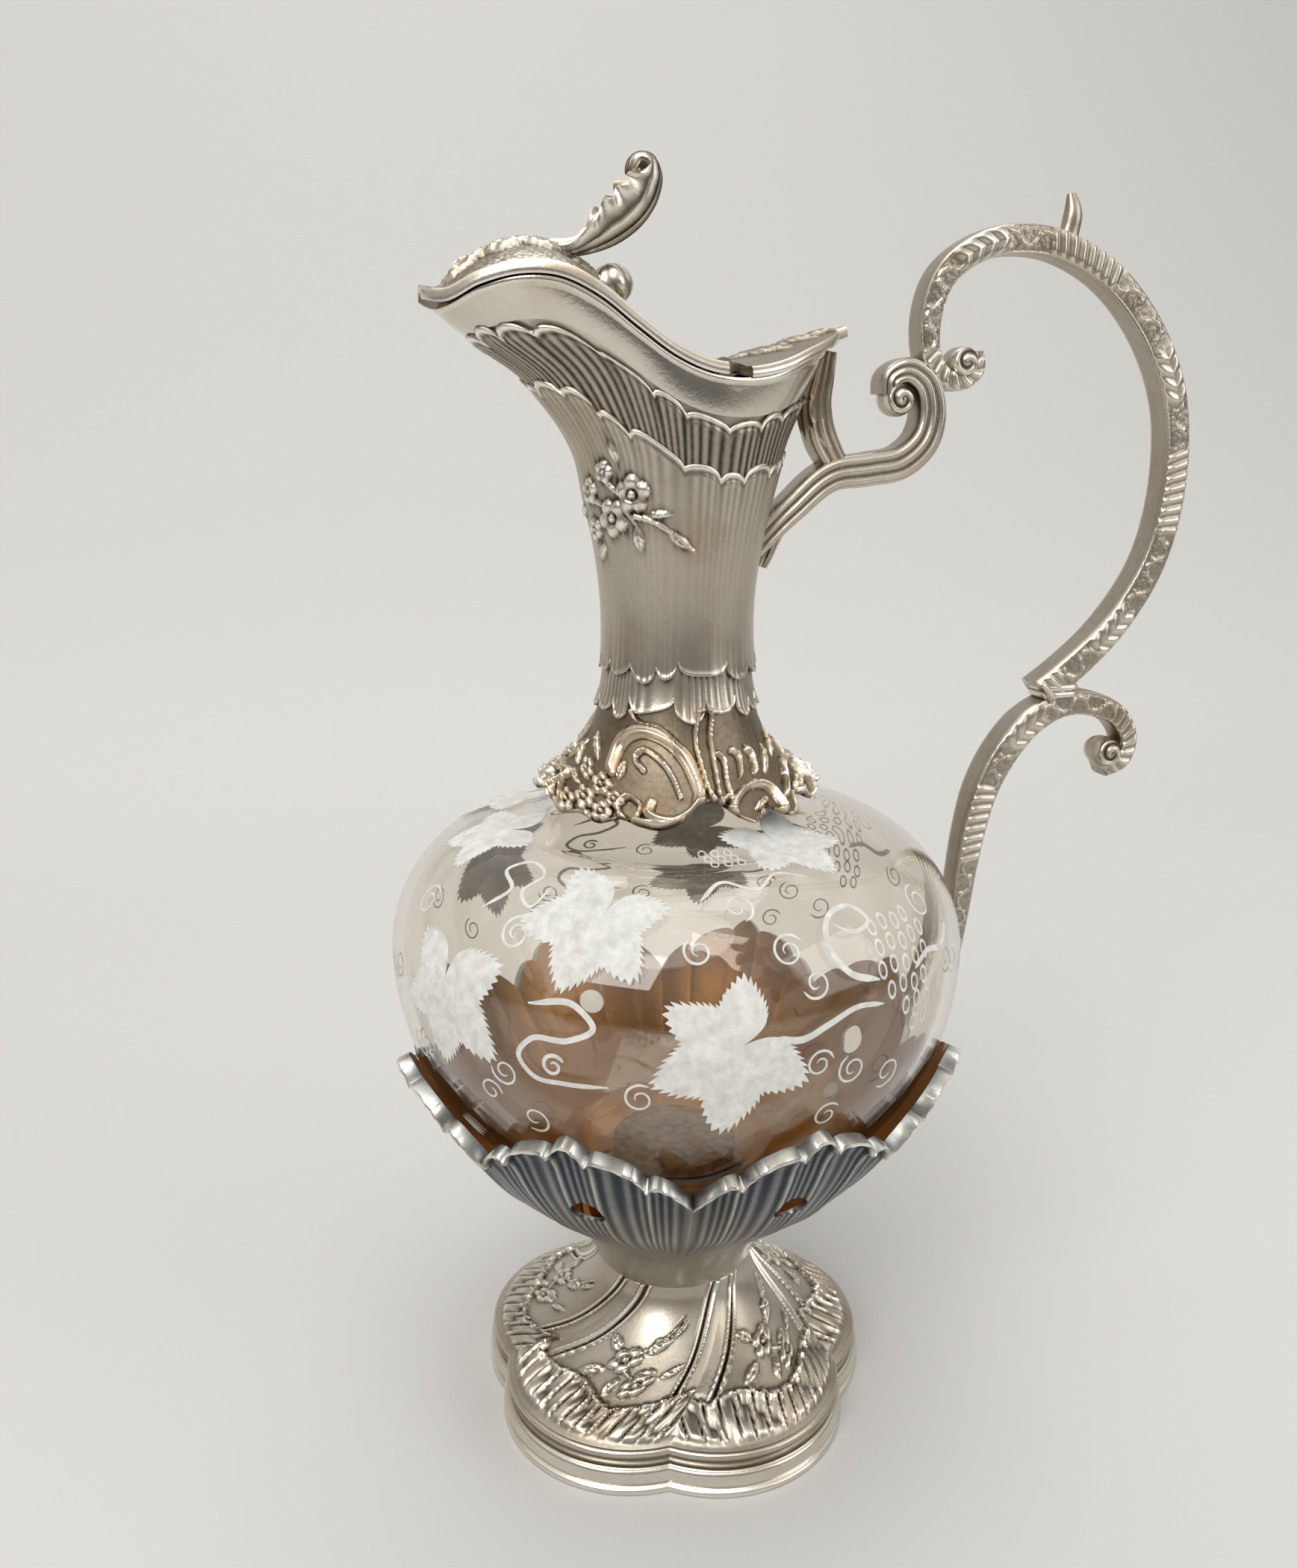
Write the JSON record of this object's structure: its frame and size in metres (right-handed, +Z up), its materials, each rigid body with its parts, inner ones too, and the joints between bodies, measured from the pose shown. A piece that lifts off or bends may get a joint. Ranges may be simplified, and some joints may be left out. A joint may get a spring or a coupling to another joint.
{
  "type": "wine ewer",
  "caption": "Glass wine ewer in silver mounts, with a lobed foot, a cradle of fluted shells, a scroll handle and a hinged lid over the spout.",
  "frame": {"origin": "centre of the foot's rest face, on the jug's axis", "axes": "+Z up, +X towards the handle, -X towards the spout"},
  "size_m": [0.1953, 0.133, 0.2885],
  "materials": {
    "silver": "patinated, polished on the high parts",
    "glass": "clear, with frosted engraving",
    "brass": "plain",
    "cork": "matte",
    "plaster": "matte"
  },
  "bodies": {
    "jug": {"foot": "silver", "foot_rim": "silver", "base_cup": "silver", "shell_1": "silver", "shell_2": "silver", "shell_3": "silver", "shell_4": "silver", "shell_5": "silver", "neck_mount": "silver", "spout_band": "silver", "hinge_plate": "silver", "fixed_knuckles": "silver", "hinge_pin": "silver", "bracket": "silver", "grip": "silver", "grip_spur": "silver", "joint_collar": "silver", "lower_scroll": "silver", "handle_screw": "silver", "glass_body": "glass", "tie_bolt": "brass", "tie_washer": "brass", "tie_nut": "brass", "cork_pad": "cork", "neck_bedding": "plaster"},
    "lid": {"lid_cover": "silver", "lid_knuckle": "silver", "thumb_piece": "silver", "thumb_bud": "silver"}
  },
  "joints": [
    {"name": "lid_hinge", "type": "hinge", "parent": "jug", "child": "lid", "pos_m": [0.0065, 0, 0.2487], "axis": [0, 1, 0], "range_deg": [0, 85]}
  ]
}
